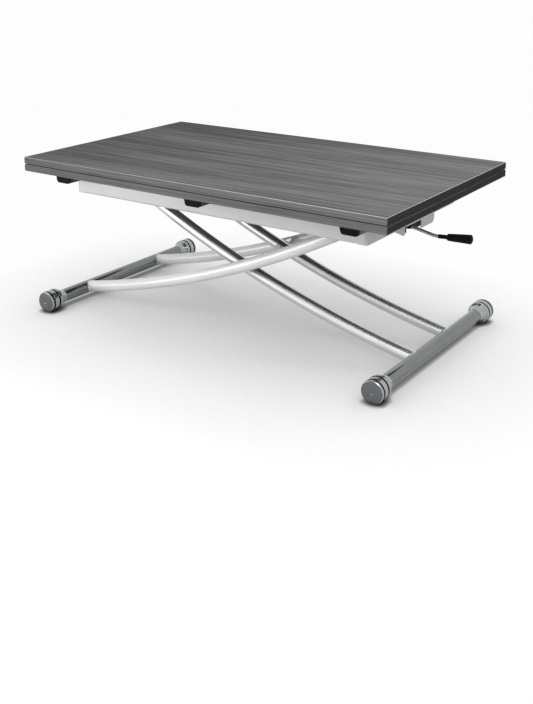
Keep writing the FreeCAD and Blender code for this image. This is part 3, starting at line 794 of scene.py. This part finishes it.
@dataclass
class TurnedRoller:
    """One foot roller, turned from a profile whose edges are rounded."""

    neck_radius: float = 18.6 * MM
    neck_length: float = 20.0 * MM
    flare_power: float = 1.5
    flare_steps: int = 6
    shoulder_radius: float = 24.0 * MM
    shoulder_length: float = 4.0 * MM
    drum_radius: float = 28.6 * MM
    bands: Point = (9.0 * MM, 14.5 * MM, 5.5 * MM)
    groove_width: float = 5.5 * MM
    groove_depth: float = 4.0 * MM
    rim_bevel: float = 1.6 * MM
    dome_height: float = 2.6 * MM
    dome_steps: int = 8
    dimple_radius: float = 4.0 * MM
    dimple_depth: float = 1.4 * MM
    dimple_steps: int = 4
    bore_radius: float = 6.0 * MM
    bore_depth: float = 50.0 * MM
    edge_round: float = 0.6 * MM
    edge_share: float = 0.4
    edge_steps: int = 4
    edge_angle: float = math.radians(20.0)
    smooth_angle: float = math.radians(40.0)
    sides: int = 96

    def build(self, node: str, material: Material, body: str) -> Piece:
        """Turns the roller that stands for a CAD node.

        Args:
            node: the node's name.
            material: the roller's finish.
            body: the body that it rides on.

        Returns:
            The finished piece.
        """
        low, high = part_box(node)
        start, way = (low[1], 1.0) if low[1] > 0 else (high[1], -1.0)
        x, _, z = middle_of(node)
        shell = bmesh.new()
        profile = self._rounded(self._corners())
        rings = [self._ring(shell, (x, start + way * along, z), radius) for along, radius in profile]
        for one, two in zip(rings, rings[1:]):
            for index in range(self.sides):
                after = (index + 1) % self.sides
                corners = [one[index % len(one)], one[after % len(one)]]
                corners += [two[after % len(two)], two[index % len(two)]]
                shell.faces.new(list(dict.fromkeys(corners)))
        bmesh.ops.recalc_face_normals(shell, faces=shell.faces)
        for facet in shell.faces:
            facet.smooth = True
        mesh = bpy.data.meshes.new(node + "_turned")
        shell.to_mesh(mesh)
        shell.free()
        mesh.set_sharp_from_angle(angle=self.smooth_angle)
        mesh.materials.append(material)
        piece = add_piece(node + "_turned", mesh, body)
        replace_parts(piece, node)
        return piece

    def _ring(self, shell: bmesh.types.BMesh, centre: Point, radius: float) -> list[bmesh.types.BMVert]:
        """One ring of points round the axis, or a single point on it.

        Args:
            shell: the mesh to add to.
            centre: the ring's middle.
            radius: its radius.

        Returns:
            The points.
        """
        x, y, z = centre
        count = self.sides if radius > 0 else 1
        turns = (math.tau * index / count for index in range(count))
        points = ((x + radius * math.cos(turn), y, z + radius * math.sin(turn)) for turn in turns)
        return [shell.verts.new(point) for point in points]

    def _corners(self) -> list[Span]:
        """The profile before its edges are rounded.

        Returns:
            Distances from the roller's inner end, with radii.
        """
        corners = [(self.bore_depth, 0.0), (self.bore_depth, self.bore_radius), (0.0, self.bore_radius)]
        for step in range(self.flare_steps + 1):
            share = step / self.flare_steps
            flare = (self.shoulder_radius - self.neck_radius) * share ** self.flare_power
            corners.append((self.neck_length * share, self.neck_radius + flare))
        along = self.neck_length + self.shoulder_length
        groove = self.drum_radius - self.groove_depth
        corners.append((along, self.drum_radius))
        for band in self.bands[:2]:
            along += band
            corners += [(along, self.drum_radius), (along, groove)]
            along += self.groove_width
            corners += [(along, groove), (along, self.drum_radius)]
        along += self.bands[2]
        rim = self.drum_radius - self.rim_bevel
        corners += [(along - self.rim_bevel, self.drum_radius), (along, rim)]
        curve = (rim ** 2 + self.dome_height ** 2) / (2 * self.dome_height)
        end = along + self.dome_height
        for step in range(1, self.dome_steps + 1):
            radius = rim + (self.dimple_radius - rim) * step / self.dome_steps
            corners.append((end - curve + math.sqrt(curve ** 2 - radius ** 2), radius))
        for step in reversed(range(self.dimple_steps)):
            share = step / self.dimple_steps
            corners.append((end - self.dimple_depth * (1.0 - share ** 2), self.dimple_radius * share))
        return corners

    def _rounded(self, corners: Sequence[Span]) -> list[Span]:
        """Rounds the profile's sharp corners.

        Args:
            corners: distances along the axis, with radii.

        Returns:
            The finer profile.
        """
        points = [Vector(corner) for corner in corners]
        fine = [points[0]]
        for before, here, after in zip(points, points[1:], points[2:]):
            back, ahead = before - here, after - here
            if math.pi - back.angle(ahead) < self.edge_angle:
                fine.append(here)
                continue
            cut = min(self.edge_round, self.edge_share * back.length, self.edge_share * ahead.length)
            first, last = here + back.normalized() * cut, here + ahead.normalized() * cut
            for step in range(self.edge_steps + 1):
                share = step / self.edge_steps
                fine.append(first.lerp(here, share).lerp(here.lerp(last, share), share))
        return [(point.x, point.y) for point in fine + [points[-1]]]


@dataclass
class WeldBead:
    """A painted bead of weld where a leg tube stands on a cross bar or boss."""

    centre: Vector
    direction: Vector
    bar_radius: float
    tube_radius: float
    steps: int = 72

    def path(self) -> list[Vector]:
        """The closed line where the two round surfaces meet.

        Returns:
            Its points, in order.
        """
        along = self.direction.normalized()
        sideways = Vector((0.0, 1.0, 0.0))
        across = along.cross(sideways)
        line = []
        for step in range(self.steps):
            turn = math.tau * step / self.steps
            rise = self.tube_radius * math.sin(turn)
            reach = math.sqrt(self.bar_radius ** 2 - rise ** 2)
            offset = sideways * (self.tube_radius * math.cos(turn)) + across * rise + along * reach
            line.append(self.centre + offset)
        return line


@dataclass
class WeldRun:
    """All the weld beads of one body, swept by Geometry Nodes with a slight ripple."""

    name: str
    beads: Sequence[WeldBead]
    bead_radius: float
    sides: int = 10
    ripples_per_metre: float = 260.0
    ripple_detail: float = 1.0
    ripple: Span = (0.8, 1.2)

    def build(self, material: Material, body: str, slot: str) -> Piece:
        """Sweeps the beads into one plain mesh.

        Args:
            material: the finish of the welded parts.
            body: the body that they ride on.
            slot: passed to realise, which does not use it.

        Returns:
            The finished piece.
        """
        graph = GeometryGraph(self.name, {"Bead Radius": self.bead_radius, "Finish": material})
        path = graph.add("GeometryNodeMeshToCurve", {"Mesh": graph.given["Geometry"]}).outputs["Curve"]
        pattern = {"Scale": self.ripples_per_metre, "Detail": self.ripple_detail}
        noise = graph.add("ShaderNodeTexNoise", pattern).outputs["Fac"]
        swell = graph.span(noise, FULL_SPAN, self.ripple)
        beads = graph.sweep(path, graph.given["Bead Radius"], self.sides, Scale=swell)
        return graph.realise(beads, self._lines(), body, slot)

    def _lines(self) -> Mesh:
        """The beads' closed lines, in one mesh.

        Returns:
            The mesh.
        """
        points: list[Vector] = []
        edges: list[tuple[int, int]] = []
        for bead in self.beads:
            first, line = len(points), bead.path()
            points += line
            edges += [(first + step, first + (step + 1) % len(line)) for step in range(len(line))]
        lines = bpy.data.meshes.new(self.name + "_lines")
        lines.from_pydata(points, edges, [])
        return lines


class Finishes:
    """Every finish of the table, built once."""

    RIM_HEIGHT = 3.0 * MM

    def __init__(self) -> None:
        """Builds the materials."""
        # The band's rim colour stands for a worn arris and a painted highlight on it.
        rim = RimWearAndHighlight(srgb("cececc"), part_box("upper_edging")[1][2] - self.RIM_HEIGHT)
        self.board = WoodGrainFinish(
            "grey_wood_grain", GrainWay.BOARD, roughness=0.5,
            dark=srgb("525252"), middle=srgb("747474"), light=srgb("8c8c8b"),
        ).material()
        self.band = WoodGrainFinish(
            "grey_edge_band", GrainWay.BAND, roughness=0.48, rim=rim,
            dark=srgb("5e5e5e"), middle=srgb("777777"), light=srgb("8a8a89"),
        ).material()
        self.frame = PaintFinish(
            "silver_powder_coat", srgb("d0d2d4"), roughness=0.38, metallic=0.25, coat=0.1
        ).material()
        # The outer legs' near-white, almost non-metallic paint is painted light: a lit copy of the legs'
        # silver.
        self.lit_outer_leg = PaintFinish(
            "lit_pale_silver_leg", srgb("fcfcfc"), roughness=0.25, metallic=0.06, peel=0.02
        ).material()
        self.inner_leg = PaintFinish(
            "satin_silver_leg", srgb("d6d8da"), roughness=0.3, metallic=0.96, peel=0.02
        ).material()
        self.rail = PaintFinish("dark_rail_coat", srgb("3a3b3d"), roughness=0.45, metallic=0.2).material()
        self.gas = PaintFinish(
            "black_cylinder_paint", srgb("1b1b1c"), roughness=0.3, metallic=0.1, coat=0.4
        ).material()
        self.bar = TurnedMetalFinish(
            "satin_grey_bar", srgb("7c8180"), roughness=0.1, metallic=0.85,
            marks=(900.0, 14.0, 900.0), mark_depth=0.001 * MM,
        ).material()
        # The roller's end faces are darkened to 0.38 of its colour: painted shade.
        self.roller = TurnedMetalFinish(
            "turned_roller", srgb("a8acac"), roughness=0.14, metallic=0.8,
            marks=(6.0, 1600.0, 6.0), mark_depth=0.002 * MM, end_face_shade=0.38,
        ).material()
        self.steel = TurnedMetalFinish(
            "bright_steel", srgb("b4b5b6"), roughness=0.28, metallic=1.0,
            marks=(1100.0, 30.0, 1100.0), mark_depth=0.01 * MM,
        ).material()
        self.lever = TurnedMetalFinish(
            "grey_lever_rod", srgb("a6a8aa"), roughness=0.34, metallic=0.7,
            marks=(40.0, 900.0, 900.0), mark_depth=0.01 * MM,
        ).material()
        self.chrome = TurnedMetalFinish(
            "ground_rod", srgb("d2d3d4"), roughness=0.08, metallic=1.0,
            marks=(30.0, 800.0, 800.0), mark_depth=0.002 * MM,
        ).material()
        self.black = MouldedFinish(
            "black_moulding", srgb("0d0d0d"), roughness=0.46, grain_per_metre=1500.0, grain_strength=0.25
        ).material()
        self.nylon = MouldedFinish(
            "pale_nylon", srgb("d8d6cd"), roughness=0.5, grain_per_metre=1200.0, grain_strength=0.12
        ).material()
        self.rubber = MouldedFinish(
            "black_rubber", srgb("0c0c0c"), roughness=0.72, grain_per_metre=900.0, grain_strength=0.35
        ).material()


def dress(material: Material, nodes: Iterable[str]) -> None:
    """Gives CAD nodes their finish.

    Args:
        material: the finish.
        nodes: the nodes' names.
    """
    for name in nodes:
        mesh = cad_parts[name].data
        mesh.materials.clear()
        mesh.materials.append(material)
        LOG.info("%s: %s", name, material.name)


@dataclass
class TableTop:
    """The two leaves with their bands, hinges, bumpers and slide shoes."""

    hinge_screws: int = 4
    screw_radius: float = 2.3 * MM
    screw_height: float = 0.25 * MM
    screw_from_seam: float = 9.0 * MM
    hinge_length: float = 60.0 * MM
    hinge_pitch: float = 400.0 * MM

    def dress(self, finishes: Finishes) -> None:
        """Dresses the leaves and adds the hinge screws.

        Args:
            finishes: the table's finishes.
        """
        dress(finishes.board, ("lower_leaf", "upper_leaf"))
        dress(finishes.band, ("lower_edging", "upper_edging"))
        dress(finishes.steel, ("lower_hinge_plates", "upper_hinge_plates", "hinge_pins"))
        dress(finishes.black, ("slide_shoes",))
        dress(finishes.nylon, ("leaf_bumpers",))
        for body, side in (("lower_top", -1), ("upper_top", 1)):
            pattern = FastenerPattern(
                body + "_hinge_screws", FastenerKind.CROSS_HEAD, self._screw_points(side),
                facing=(0.0, 1.0, 0.0), head_radius=self.screw_radius, head_height=self.screw_height,
            )
            pattern.build(finishes.steel, body, "steel")

    def _screw_points(self, side: int) -> list[Point]:
        """Where the hinge screws stand on a leaf's rear edge.

        Args:
            side: -1 for the lower leaf and 1 for the upper.

        Returns:
            The points.
        """
        middle_x = middle_of("upper_edging")[0]
        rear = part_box("upper_edging")[1][1]
        seam = (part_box("lower_leaf")[1][2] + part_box("upper_leaf")[0][2]) / 2
        pitch = self.hinge_length / self.hinge_screws
        points = []
        for hinge in (-1, 0, 1):
            start = middle_x + hinge * self.hinge_pitch - self.hinge_length / 2
            for index in range(self.hinge_screws):
                points.append((start + (index + 0.5) * pitch, rear, seam + side * self.screw_from_seam))
        return points


@dataclass
class SubFrame:
    """The channels, end plates, rails and caps under the top."""

    screw_radius: float = 4.5 * MM
    screw_height: float = 2.2 * MM
    screw_spread: float = 9.0 * MM
    flange_wall: float = 2.0 * MM

    def dress(self, finishes: Finishes) -> None:
        """Dresses the sub-frame and adds the screws that hold the middle rail.

        Args:
            finishes: the table's finishes.
        """
        dress(finishes.frame, ("front_channel", "rear_channel", "left_end_plate", "right_end_plate"))
        dress(finishes.rail, ("left_cross_rail", "middle_cross_rail", "right_cross_rail"))
        dress(finishes.black, ("rail_end_caps",))
        dress(finishes.nylon, ("pivot_blocks",))
        pattern = FastenerPattern(
            "rail_screws", FastenerKind.CROSS_HEAD, self._screw_points(),
            facing=(0.0, 0.0, -1.0), head_radius=self.screw_radius, head_height=self.screw_height,
        )
        pattern.build(finishes.steel, "subframe", "steel")

    def _screw_points(self) -> list[Point]:
        """Under each channel's top flange, two where the middle rail crosses it.

        Returns:
            The points.
        """
        rail_x = middle_of("middle_cross_rail")[0]
        points = []
        for channel in ("front_channel", "rear_channel"):
            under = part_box(channel)[1][2] - self.flange_wall
            for side in (-1, 1):
                points.append((rail_x + side * self.screw_spread, middle_of(channel)[1], under))
        return points


@dataclass
class ScissorLegs:
    """The two pairs of bent legs with their bosses, axles, pins and welds."""

    tube_radius: float = 16.0 * MM
    bead_radius: float = 1.7 * MM
    trim: float = 6.0 * MM

    def dress(self, finishes: Finishes) -> None:
        """Dresses the legs and adds the welds at both ends of every tube.

        Args:
            finishes: the table's finishes.
        """
        dress(finishes.inner_leg, ("scissor_spacers",))
        dress(finishes.steel, ("lift_axle", "pivot_axle", "scissor_pins"))
        dress(finishes.steel, ("lift_axle_spacers", "pivot_axle_spacers"))
        dress(finishes.nylon, ("scissor_bushes",))
        dress(finishes.black, ("front_track_roller", "rear_track_roller"))
        self._pair("outer", "left_foot_bar", finishes.lit_outer_leg)
        self._pair("inner", "right_foot_bar", finishes.inner_leg)

    def _pair(self, pair: str, bar: str, paint: Material) -> None:
        """Builds the tubes and welds of one pair of legs.

        Args:
            pair: outer or inner.
            bar: the foot bar's node.
            paint: the pair's finish.
        """
        bosses = pair + "_leg_bosses"
        dress(paint, (bosses,))
        beads: list[WeldBead] = []
        for side in ("front", "rear"):
            node = f"{pair}_{side}_leg"
            dress(paint, (node,))
            line = self._line(node, bar, bosses)
            foot, pivot, top = (tuple(place) for place in line)
            tube = LegTube(node + "_tube", foot, pivot, top, self.tube_radius, self.trim)
            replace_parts(tube.build(paint, pair + "_legs", "leg_paint"), node)
            beads += self._beads(line, bar, bosses)
        WeldRun(pair + "_leg_welds", beads, self.bead_radius).build(paint, pair + "_legs", "leg_paint")

    @staticmethod
    def _line(node: str, bar: str, bosses: str) -> Line:
        """Where a leg's middle line starts, crosses the scissor pivot and ends.

        Args:
            node: the leg's node.
            bar: the foot bar's node.
            bosses: the bosses' node.

        Returns:
            The foot, the pivot and the top.
        """
        y = middle_of(node)[1]
        foot, pivot, top = (middle_of(name) for name in (bar, "scissor_bushes", bosses))
        return Vector((foot[0], y, foot[2])), Vector((pivot[0], y, pivot[2])), Vector((top[0], y, top[2]))

    def _beads(self, line: Line, bar: str, bosses: str) -> list[WeldBead]:
        """The welds at the foot and at the boss of one leg.

        Args:
            line: the leg's foot, pivot and top.
            bar: the foot bar's node.
            bosses: the bosses' node.

        Returns:
            Two beads.
        """
        foot, pivot, top = line
        centre = self._bend_centre(line)
        beads = []
        for place, end in ((foot, bar), (top, bosses)):
            low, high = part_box(end)
            spoke = (place - centre).normalized()
            tangent = Vector((-spoke.z, 0.0, spoke.x))
            if tangent.dot(pivot - place) < 0:
                tangent = -tangent
            beads.append(WeldBead(place, tangent, (high[2] - low[2]) / 2, self.tube_radius))
        return beads

    @staticmethod
    def _bend_centre(line: Line) -> Vector:
        """The middle of a leg's bend, in its upright plane.

        Args:
            line: three points on the leg.

        Returns:
            The centre of the circle through them.
        """
        first, second, third = line
        ax, az, bx, bz = second.x - first.x, second.z - first.z, third.x - first.x, third.z - first.z
        twice = 2 * (ax * bz - az * bx)
        a_square, b_square = ax * ax + az * az, bx * bx + bz * bz
        x = (bz * a_square - az * b_square) / twice
        z = (ax * b_square - bx * a_square) / twice
        return first + Vector((x, 0.0, z))


@dataclass
class Feet:
    """The foot bars with their rollers, rings, bushes and axles."""

    sides: tuple[str, str] = ("left", "right")

    def dress(self, finishes: Finishes) -> None:
        """Dresses the feet and turns their rollers.

        Args:
            finishes: the table's finishes.
        """
        for side in self.sides:
            dress(finishes.bar, (side + "_foot_bar",))
            for node in (side + "_front_roller", side + "_rear_roller"):
                dress(finishes.roller, (node,))
                TurnedRoller().build(node, finishes.roller, side + "_wheels")
            dress(finishes.rubber, (side + "_roller_rings",))
            dress(finishes.black, (side + "_foot_bushes",))
            dress(finishes.steel, (side + "_foot_axle",))


@dataclass
class GasLift:
    """The lockable gas spring and the yoke that ties it to the moving axle."""

    def dress(self, finishes: Finishes) -> None:
        """Dresses the gas spring.

        Args:
            finishes: the table's finishes.
        """
        dress(finishes.gas, ("gas_cylinder",))
        dress(finishes.chrome, ("gas_rod",))
        dress(finishes.steel, ("lift_yoke", "gas_piston", "valve_pin"))
        dress(finishes.black, ("gas_gland",))


@dataclass
class ReleaseLever:
    """The lever with its bracket, head and grip."""

    nut_radius: float = 5.2 * MM
    nut_height: float = 4.0 * MM
    nut_inset: float = 18.0 * MM
    nut_drop: float = 14.0 * MM

    def dress(self, finishes: Finishes) -> None:
        """Dresses the lever and adds the nuts behind its bracket.

        Args:
            finishes: the table's finishes.
        """
        dress(finishes.frame, ("lever_bracket",))
        # The release head is dressed black as painted shade in the bracket's notch; the sleeve and grip are
        # black mouldings.
        dress(finishes.black, ("release_head", "lever_sleeve", "lever_grip"))
        dress(finishes.lever, ("lever_rod",))
        dress(finishes.steel, ("lever_pin",))
        low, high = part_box("lever_bracket")
        across = (low[1] + self.nut_inset, high[1] - self.nut_inset)
        pattern = FastenerPattern(
            "bracket_nuts", FastenerKind.HEX_NUT, [(low[0], y, high[2] - self.nut_drop) for y in across],
            facing=(-1.0, 0.0, 0.0), head_radius=self.nut_radius, head_height=self.nut_height,
        )
        pattern.build(finishes.steel, "subframe", "steel")


@dataclass(frozen=True)
class Softbox:
    """A square lamp that faces the table."""

    name: str
    place: Point
    size: float
    watts: float
    aim: Point = (0.0, 0.0, 0.35)

    def build(self) -> None:
        """Hangs the lamp in its place."""
        data = bpy.data.lights.new(self.name, "AREA")
        data.energy = self.watts
        data.size = self.size
        lamp = bpy.data.objects.new(self.name, data)
        lamp.location = self.place
        lamp.rotation_euler = (Vector(self.aim) - Vector(self.place)).to_track_quat("-Z", "Y").to_euler()
        bpy.context.collection.objects.link(lamp)


@dataclass
class Studio:
    """The pale floor, the soft light and the camera at the photograph's angle."""

    image_width: int = 533
    image_height: int = 704
    azimuth: float = math.radians(33.9)
    elevation: float = math.radians(13.13)
    focal_pixels: float = 1002.5
    centre_pixel: Span = (281.7, 175.8)
    sensor: float = 36.0
    from_top: Point = (1.49402, -2.13048, 0.56221)
    floor_half: float = 60.0
    floor_colour: Colour = srgb("d2d2d2")
    floor_roughness: float = 0.9
    floor_glow: float = 1.06
    glow_share: float = 0.9
    shadow_reach: float = 0.55
    shadow_power: float = 0.75
    contact_reach: float = 0.016
    contact_power: float = 2.0
    shadow_samples: int = 16
    ambient: float = 0.34
    ambient_lean: float = 0.26
    lamps: tuple[Softbox, ...] = (
        Softbox("side_light", (-1.5, -1.8, 0.5), size=1.0, watts=14.5),
        Softbox("front_light", (0.75, -1.2, 1.1), size=0.8, watts=9.0),
        Softbox("top_light", (0.6, 0.2, 1.3), size=0.6, watts=5.2),
    )

    def build(self) -> None:
        """Sets up the whole studio."""
        self._camera()
        self._floor()
        self._world()
        for lamp in self.lamps:
            lamp.build()
        bpy.context.scene.view_settings.view_transform = "Standard"

    def _camera(self) -> None:
        """Places the camera where the photograph's camera stood."""
        data = bpy.data.cameras.new("camera")
        data.sensor_width = self.sensor
        data.lens = self.focal_pixels * self.sensor / self.image_height
        data.shift_x = (self.image_width / 2 - self.centre_pixel[0]) / self.image_height
        data.shift_y = (self.centre_pixel[1] - self.image_height / 2) / self.image_height
        camera = bpy.data.objects.new("camera", data)
        x, y, _ = middle_of("upper_edging")
        camera.location = Vector((x, y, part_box("upper_edging")[1][2])) + Vector(self.from_top)
        flat, rise = math.cos(self.elevation), math.sin(self.elevation)
        ahead = Vector((-math.sin(self.azimuth) * flat, math.cos(self.azimuth) * flat, -rise))
        camera.rotation_euler = ahead.to_track_quat("-Z", "Y").to_euler()
        bpy.context.collection.objects.link(camera)
        bpy.context.scene.camera = camera

    def _floor(self) -> None:
        """A wide pale floor that shows white to the camera and keeps the table's shadow."""
        half = self.floor_half
        corners = [(-half, -half, 0.0), (half, -half, 0.0), (half, half, 0.0), (-half, half, 0.0)]
        mesh = bpy.data.meshes.new("floor")
        mesh.from_pydata(corners, [], [(0, 1, 2, 3)])
        floor = bpy.data.objects.new("floor", mesh)
        bpy.context.collection.objects.link(floor)
        graph = ShaderGraph("pale_floor")
        graph.set(Base_Color=(*self.floor_colour, 1.0), Roughness=self.floor_roughness)
        shadow = graph.math("POWER", self._openness(graph, self.shadow_reach), self.shadow_power)
        contact = graph.math("POWER", self._openness(graph, self.contact_reach), self.contact_power)
        strength = graph.math("MULTIPLY", graph.math("MULTIPLY", shadow, contact), self.floor_glow)
        glow = graph.add("ShaderNodeEmission", {"Strength": strength})
        share = graph.math("MULTIPLY", graph.seen(), self.glow_share)
        mix = graph.add("ShaderNodeMixShader", {"Fac": share})
        for socket, shader in zip(mix.inputs[1:], (graph.surface.outputs["BSDF"], glow.outputs["Emission"])):
            graph.feed(socket, shader)
        graph.feed(graph.tree.nodes["Material Output"].inputs["Surface"], mix.outputs["Shader"])
        mesh.materials.append(graph.material)

    def _openness(self, graph: ShaderGraph, reach: float) -> Socket:
        """How much of the sky a floor point sees.

        Args:
            graph: the nodes to add to.
            reach: how far away a piece still shades it.

        Returns:
            1 where nothing is in the way.
        """
        node = graph.add("ShaderNodeAmbientOcclusion", {"Distance": reach}, samples=self.shadow_samples)
        return node.outputs["AO"]

    def _world(self) -> None:
        """A white surround for the camera and mirrors, and an even soft light for the rest."""
        world = bpy.data.worlds.new("surround")
        world.use_nodes = True
        bpy.context.scene.world = world
        graph = NodeGraph(world.node_tree)
        heading = graph.split(graph.add("ShaderNodeTexCoord").outputs["Generated"])
        soft = graph.math("MULTIPLY_ADD", heading["X"], -self.ambient_lean, self.ambient)
        surround = graph.tree.nodes["Background"].inputs
        surround["Color"].default_value = (1.0, 1.0, 1.0, 1.0)
        graph.feed(surround["Strength"], graph.span(graph.seen(), FULL_SPAN, (soft, 1.0)))


def main() -> None:
    """Dresses every sub-assembly and sets up the studio."""
    logging.basicConfig(level=logging.INFO, format="%(message)s")
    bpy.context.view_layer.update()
    finishes = Finishes()
    for assembly in (TableTop(), SubFrame(), ScissorLegs(), Feet(), GasLift(), ReleaseLever()):
        assembly.dress(finishes)
        LOG.info("dressed %s", type(assembly).__name__)
    Studio().build()


if __name__ == "__main__":
    main()
